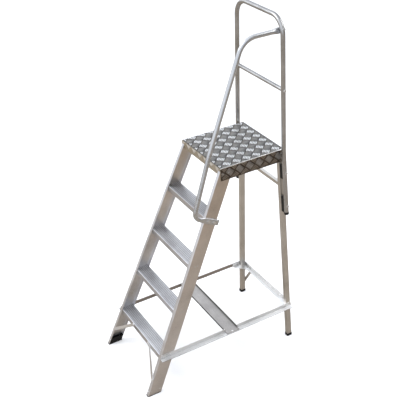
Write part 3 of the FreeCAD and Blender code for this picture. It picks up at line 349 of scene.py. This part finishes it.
def chequer_plate():
    """Rolled chequer sheet: very dark and mottled between the bars, polished by boots on their crests, with
    painted highlights, light and reflection.
    """
    made = Shader("chequer_aluminium")
    mottle = made.noise(made.place, scale=55.0, detail=5.0, roughness=0.65)
    specks = made.noise(made.place, scale=420.0, detail=3.0, roughness=0.6)
    darkest_sheet, plain = colour(0.055, 0.052, 0.05), colour(0.17, 0.165, 0.16)
    sheet = made.mix(made.remap(mottle, (0.35, 0.65), WHOLE), darkest_sheet, plain)
    polished, scuffed = colour(1.0, 1.0, 1.0), colour(0.90, 0.90, 0.90)
    crest = made.mix(made.remap(specks, (0.4, 0.7), WHOLE), polished, scuffed)
    # rubbing of the crests, with a painted highlight on the crests of one direction
    wear_and_highlight = made.node("ShaderNodeAttribute", attribute_name="wear_and_highlight").outputs["Fac"]
    from_middle = made.combine(made.coordinate("X"), 0.0, "ABSOLUTE")
    # painted highlight along the fold, drawn in the crest colour
    fold = made.combine(made.remap(from_middle, FOLD_HIGHLIGHT_ACROSS, WHOLE),
                        made.remap(made.coordinate("Z"), FOLD_HIGHLIGHT_DOWN, WHOLE), "MULTIPLY")
    wear_and_highlight = made.combine(wear_and_highlight, fold, "MAXIMUM")
    tone = made.mix(wear_and_highlight, sheet, crest)
    # painted warm reflection on the steep faces
    steep = made.remap(made.facing("Z"), (0.35, 0.15), WHOLE)
    tone = made.tinted(steep, tone, STEEP_PAINTED_REFLECTION)
    # painted light: faces that look forward are mixed towards a pale golden tone
    front = made.remap(made.facing("Y"), (-0.5, -0.95), (0.0, 0.55))
    tone = made.mix(front, tone, colour(*FRONT_PAINTED_LIGHT))
    made.put(tone, made.principled.inputs["Base Color"])
    made.principled.inputs["Metallic"].default_value = 1.0
    blur = made.combine(made.remap(wear_and_highlight, WHOLE, (0.46, 0.22)), made.remap(specks, (0.3, 0.7), (-0.04, 0.06)))
    made.put(blur, made.principled.inputs["Roughness"])
    made.bump(specks, strength=0.3, distance=0.0003)
    return made.material


def black_plastic():
    """Moulded black plastic: satin, with a fine grain and cloudy dust."""
    made = Shader("black_plastic")
    grain = made.noise(made.place, scale=900.0, detail=2.0)
    dust = made.noise(made.place, scale=45.0, detail=4.0, roughness=0.65)
    clean, dusty = colour(0.006, 0.006, 0.0065), colour(0.03, 0.028, 0.026)
    tone = made.mix(made.remap(dust, (0.48, 0.78), (0.0, 0.5)), clean, dusty)
    made.put(tone, made.principled.inputs["Base Color"])
    made.principled.inputs["Specular IOR Level"].default_value = 0.28
    made.put(made.remap(dust, (0.3, 0.7), (0.36, 0.55)), made.principled.inputs["Roughness"])
    made.bump(grain, strength=0.35, distance=0.0003)
    return made.material


def zinc_steel():
    """Zinc plated steel with a faint mottled bloom."""
    made = Shader("zinc_steel")
    bloom = made.noise(made.place, scale=240.0, detail=4.0, roughness=0.6)
    grey, pale = colour(0.62, 0.62, 0.63), colour(0.86, 0.85, 0.83)
    tone = made.mix(made.remap(bloom, (0.35, 0.65), WHOLE), grey, pale)
    made.put(tone, made.principled.inputs["Base Color"])
    made.principled.inputs["Metallic"].default_value = 1.0
    made.put(made.remap(bloom, (0.3, 0.7), (0.28, 0.5)), made.principled.inputs["Roughness"])
    made.bump(bloom, strength=0.2, distance=0.0003)
    return made.material


# Length and widths of the drawing lines, and the tilt of the pieces that lean.
ALONG_X = (0.30, 0.0012, 0.0012)
ALONG_Y = (0.0012, 0.30, 0.0012)
ALONG_Z = (0.0012, 0.0012, 0.30)
STILE_TILT = (-STILE_ANGLE, 0, 0)
LEG_TILT = (LEG_ANGLE, 0, 0)
HANDRAIL_TILT = (0.35, 0, 0)

ALUMINIUMS = {
    "stile_aluminium": dict(
        light=(0.88, 0.88, 0.90), dark=(0.68, 0.68, 0.70), rough=0.33, grain=ALONG_Z, tilt=STILE_TILT,
        # painted warm reflection on the faces that look to +X, stronger higher up, and a fainter one on the
        # right half
        painted_shading=(("X", (0.88, 0.80, 0.71), ("Z", 0.35, 1.15)),
                ("X", (0.97, 0.94, 0.92), ("X", -0.05, 0.05)))),
    "tread_aluminium": dict(
        # painted shade in the grooves between the ribs
        light=(0.78, 0.79, 0.82), dark=(0.62, 0.62, 0.66), rough=0.32, grain=ALONG_X, grooves=True),
    "leg_aluminium": dict(
        light=(0.78, 0.76, 0.73), dark=(0.59, 0.57, 0.54), rough=0.33, grain=ALONG_Z, tilt=LEG_TILT),
    "angle_aluminium": dict(
        light=(1.0, 1.0, 1.0), dark=(0.92, 0.92, 0.92), rough=0.30, grain=ALONG_Y,
        # painted shade on the left side bar's faces that look to +X, on the lower rim of the side bars and
        # on the faces that look forward
        painted_shading=(("X", (0.50, 0.46, 0.45), ("X", -0.1, -0.2)),
                ("X", (0.30, 0.29, 0.28), ("Z", 0.2232, 0.2222)),
                ("-Y", (0.50, 0.49, 0.48), None))),
    "gusset_aluminium": dict(
        light=(0.98, 0.98, 0.98), dark=(0.90, 0.90, 0.90), rough=0.32, grain=ALONG_X,
        # painted shade on the faces that look forward
        painted_shading=(("-Y", (0.40, 0.39, 0.38), None),)),
    "channel_aluminium": dict(
        light=(0.60, 0.58, 0.56), dark=(0.40, 0.38, 0.37), rough=0.42, grain=ALONG_X, spots=0.4,
        # painted shade on the faces that look forward
        painted_shading=(("-Y", (0.22, 0.21, 0.20), None),)),
    "brace_aluminium": dict(
        light=(0.92, 0.92, 0.92), dark=(0.76, 0.75, 0.74), rough=0.34, grain=ALONG_X),
    "frame_aluminium": dict(
        light=(0.80, 0.81, 0.83), dark=(0.62, 0.62, 0.63), rough=0.42, grain=ALONG_X),
    "guard_tube_aluminium": dict(
        light=(0.60, 0.60, 0.60), dark=(0.45, 0.445, 0.44), rough=0.28, grain=ALONG_Z,
        # painted shade on the faces that look up, to dim their highlight
        painted_shading=(("Z", (0.66, 0.66, 0.68), None),)),
    "handrail_aluminium": dict(
        light=(0.72, 0.73, 0.75), dark=(0.55, 0.56, 0.58), rough=0.28, grain=ALONG_Z, tilt=HANDRAIL_TILT),
    "rivet_aluminium": dict(
        light=(0.97, 0.97, 0.97), dark=(0.88, 0.88, 0.88), rough=0.25, grain=ALONG_Z),
    "flush_rivet_aluminium": dict(
        light=(0.80, 0.81, 0.83), dark=(0.66, 0.65, 0.64), rough=0.34, grain=ALONG_Z),
}


def make_materials():
    """One material for each of the record's slots."""
    made = {name: aluminium(name, **look) for name, look in ALUMINIUMS.items()}
    made["chequer_aluminium"] = chequer_plate()
    made["zinc_steel"] = zinc_steel()
    made["black_plastic"] = black_plastic()
    return made


def dress_nodes(materials):
    """Gives every piece from the frame the material of its slot."""
    slots = {part["node"]: part["material_slot"] for part in frame["record"]["subparts"]}
    for name, piece in nodes.items():
        material = materials[slots[name]]
        if not piece.data.materials:
            piece.data.materials.append(material)
        for slot in piece.material_slots:
            slot.material = material


def new_piece(name, bm, material):
    """A visible object made of the drafted mesh."""
    mesh = bpy.data.meshes.new(name)
    bm.to_mesh(mesh)
    bm.free()
    mesh.materials.append(material)
    piece = bpy.data.objects.new(name, mesh)
    bpy.context.scene.collection.objects.link(piece)
    return piece


# ---------------------------------------------------------------- chequer pattern
PATTERN = 0.0431            # between the middles of neighbouring groups of five bars
PATTERN_PLACE = (-0.008, 0.4310)   # one group's middle, across and along the sheet
PATTERN_REACH = 16          # groups each way, enough to cover the whole sheet
GROUP = range(-2, 3)        # places of the five bars of a group
BAR_LENGTH = 0.0355
BAR_WIDTH = 0.0064
BAR_HEIGHT = 0.0013
BAR_GAP = 0.0081            # between the middles of neighbouring bars of one group
BAR_SINK = 0.0002           # the bars start this far inside the sheet
BAR_SIDES = 12
BAR_LEAST = 0.007           # shorter pieces of a bar at an edge are left out
EDGE_MARGIN = 0.0045        # kept free along the edges of each face
LIP_HEIGHT = 0.044
LIP_INSET = 0.010           # the lip's pattern stops this far inside the folds
HIGHLIT_CRESTS, UNLIT_CRESTS = 1.0, 0.16    # shine of the crests in the two directions of rolling: rubbing, with a painted highlight on the first
SKIRT_POLISH = 0.30         # boots do not reach the skirts
# the lip's crests of the first direction carry a painted highlight
LIP_POLISH_AND_HIGHLIGHT = 0.75

# Height, length and width of a bar's three outlines, and how worn they are.  A length below 1 draws
# the ends in by that part of the bar's width.
BAR_LEVELS = ((-BAR_SINK, 1.0, 1.0, 0.15),
              (0.6 * BAR_HEIGHT, 0.95, 0.80, 0.75),
              (BAR_HEIGHT, 0.86, 0.46, 1.0))


def raised_bar(bm, wear_and_highlight, centre, along, up, length, polish_and_highlight):
    """One low bar of the pattern: sloping flanks and a narrow crest, closed underneath."""
    across = up.cross(along)
    rings = []
    for lift, long_share, wide_share, worn in BAR_LEVELS:
        ring = []
        for number in range(BAR_SIDES):
            angle = 2 * math.pi * number / BAR_SIDES
            reach = math.cos(angle) * (length - BAR_WIDTH * (1 - long_share)) / 2
            side = math.sin(angle) * wide_share * BAR_WIDTH / 2
            vertex = bm.verts.new(centre + along * reach + across * side + up * lift)
            vertex[wear_and_highlight] = worn * polish_and_highlight
            ring.append(vertex)
        rings.append(ring)
    for low, high in zip(rings, rings[1:]):
        for number in range(BAR_SIDES):
            following = (number + 1) % BAR_SIDES
            bm.faces.new((low[number], low[following], high[following], high[number]))
    bm.faces.new(rings[-1])
    bm.faces.new(list(reversed(rings[0])))


def clipped(place, direction, half, limit):
    """Range of a slanting line through the place that stays inside the limits, or None if too short."""
    first, last = -half, half
    for axis in (0, 1):
        edges = sorted(((limit[axis][side] - place[axis]) / direction[axis]) for side in (0, 1))
        first = max(first, edges[0])
        last = min(last, edges[1])
    return (first, last) if last - first > BAR_LEAST else None


def chequer_field(bm, wear_and_highlight, to_place, u_axis, v_axis, limit, polish_and_highlight):
    """Five-bar pattern over one flat face of the sheet, laid out as the sheet is before it is folded.

    to_place turns a point of the flat sheet into a place on the face, limit is the face's range across
    and along the flat sheet, and the last argument is the shine of the crests in the two directions of
    rolling: rubbing, with a painted highlight on the first.
    """
    up = u_axis.cross(v_axis)
    diagonal = PATTERN * math.sqrt(0.5)
    inner = [(low + EDGE_MARGIN, high - EDGE_MARGIN) for low, high in limit]
    reach = range(-PATTERN_REACH, PATTERN_REACH + 1)
    for i in reach:
        for j in reach:
            middle = (PATTERN_PLACE[0] + (i - j) * diagonal, PATTERN_PLACE[1] + (i + j) * diagonal)
            # the groups of one direction get a painted highlight on their crests
            highlit_direction = (i + j) % 2 == 0
            run = Vector((-1, 1)).normalized() if highlit_direction else Vector((1, 1)).normalized()
            step = Vector((-run.y, run.x))
            for number in GROUP:
                place = Vector(middle) + step * (number * BAR_GAP)
                span = clipped(place, run, BAR_LENGTH / 2, inner)
                if span is None:
                    continue
                centre = place + run * (sum(span) / 2)
                along = u_axis * run.x + v_axis * run.y
                length = span[1] - span[0]
                raised_bar(bm, wear_and_highlight, to_place(centre), along, up, length, polish_and_highlight[0 if highlit_direction else 1])


def make_chequer(material):
    """Raised pattern on the deck's top, its two skirts and its front lip."""
    bm = bmesh.new()
    wear_and_highlight = bm.verts.layers.float.new("wear_and_highlight")
    x_axis, y_axis, z_axis = Vector((1, 0, 0)), Vector((0, 1, 0)), Vector((0, 0, 1))
    front, rear = deck_low.y, deck_high.y

    def on_top(p):
        return Vector((p.x, p.y, DECK_TOP))
    chequer_field(bm, wear_and_highlight, on_top, x_axis, y_axis, ((-FOLD_X, FOLD_X), (front, rear)), (HIGHLIT_CRESTS, UNLIT_CRESTS))

    skirt = math.hypot(DECK_DROP, SPLAY * DECK_DROP)
    for side in (-1, 1):
        fall = Vector((side * SPLAY, 0, -1)).normalized()
        fold = Vector((side * FOLD_X, 0, DECK_TOP))
        limit = sorted((side * FOLD_X, side * (FOLD_X + skirt)))

        def on_skirt(p, side=side, fall=fall, fold=fold):
            return fold + fall * (side * p.x - FOLD_X) + Vector((0, p.y, 0))
        polish_and_highlight = (SKIRT_POLISH, SKIRT_POLISH)
        chequer_field(bm, wear_and_highlight, on_skirt, fall * side, y_axis, (limit, (front, rear)), polish_and_highlight)

    def on_lip(p):
        return Vector((p.x, front, DECK_TOP + p.y - front))
    limit = ((-FOLD_X + LIP_INSET, FOLD_X - LIP_INSET), (front - LIP_HEIGHT, front))
    chequer_field(bm, wear_and_highlight, on_lip, x_axis, z_axis, limit, (LIP_POLISH_AND_HIGHLIGHT, SKIRT_POLISH))

    piece = new_piece("chequer_bars", bm, material)
    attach(piece, "root")


# ---------------------------------------------------------------- weld beads
BEAD_RADIUS = 0.0024
BEAD_SIDES = 8
BEAD_STEPS = 9                              # along each edge of the crossbar
BEAD_RIPPLE, BEAD_RIPPLE_TURN = 0.16, 1.9   # share of the radius, and turn of its wave at each step
BEAD_UNEVEN = 0.08
BEAD_UPRIGHT = Vector((0.31, 0.87, 0.38))   # no edge of the crossbar runs along this


def weld_bead(name, points, material):
    """Rippled bead along a short closed run of points."""
    bm = bmesh.new()
    rings = []
    count = len(points)
    angles = [2 * math.pi * step / BEAD_SIDES for step in range(BEAD_SIDES)]
    for number, point in enumerate(points):
        along = (points[(number + 1) % count] - points[number - 1]).normalized()
        side = along.cross(BEAD_UPRIGHT).normalized()
        other = along.cross(side)
        ripple = BEAD_RIPPLE * math.sin(number * BEAD_RIPPLE_TURN)
        size = BEAD_RADIUS * (1.0 + ripple + random.uniform(-BEAD_UNEVEN, BEAD_UNEVEN))
        rings.append([bm.verts.new(point + side * math.cos(angle) * size + other * math.sin(angle) * size)
                      for angle in angles])
    for number in range(count):
        low, high = rings[number], rings[(number + 1) % count]
        for step in range(BEAD_SIDES):
            after = (step + 1) % BEAD_SIDES
            bm.faces.new((low[step], low[after], high[after], high[step]))
    bmesh.ops.recalc_face_normals(bm, faces=bm.faces)
    piece = new_piece(name, bm, material)
    piece.data.shade_smooth()
    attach(piece, "root")


def make_welds(material):
    """Bead round both ends of the upper rear crossbar, on the inner faces of the legs."""
    low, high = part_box("upper_rear_crossbar")
    corners = [(low.y, low.z), (high.y, low.z), (high.y, high.z), (low.y, high.z)]
    for side in (-1, 1):
        points = []
        for number, (y0, z0) in enumerate(corners):
            y1, z1 = corners[(number + 1) % len(corners)]
            for step in range(BEAD_STEPS):
                share = step / BEAD_STEPS
                y, z = y0 + (y1 - y0) * share, z0 + (z1 - z0) * share
                points.append(Vector((side * (high.x - SPLAY * (z - low.z)), y, z)))
        weld_bead("weld_bead_" + ("left" if side < 0 else "right"), points, material)


make_camera()
make_stage()
materials = make_materials()
dress_nodes(materials)
make_chequer(materials["chequer_aluminium"])
make_welds(materials["leg_aluminium"])
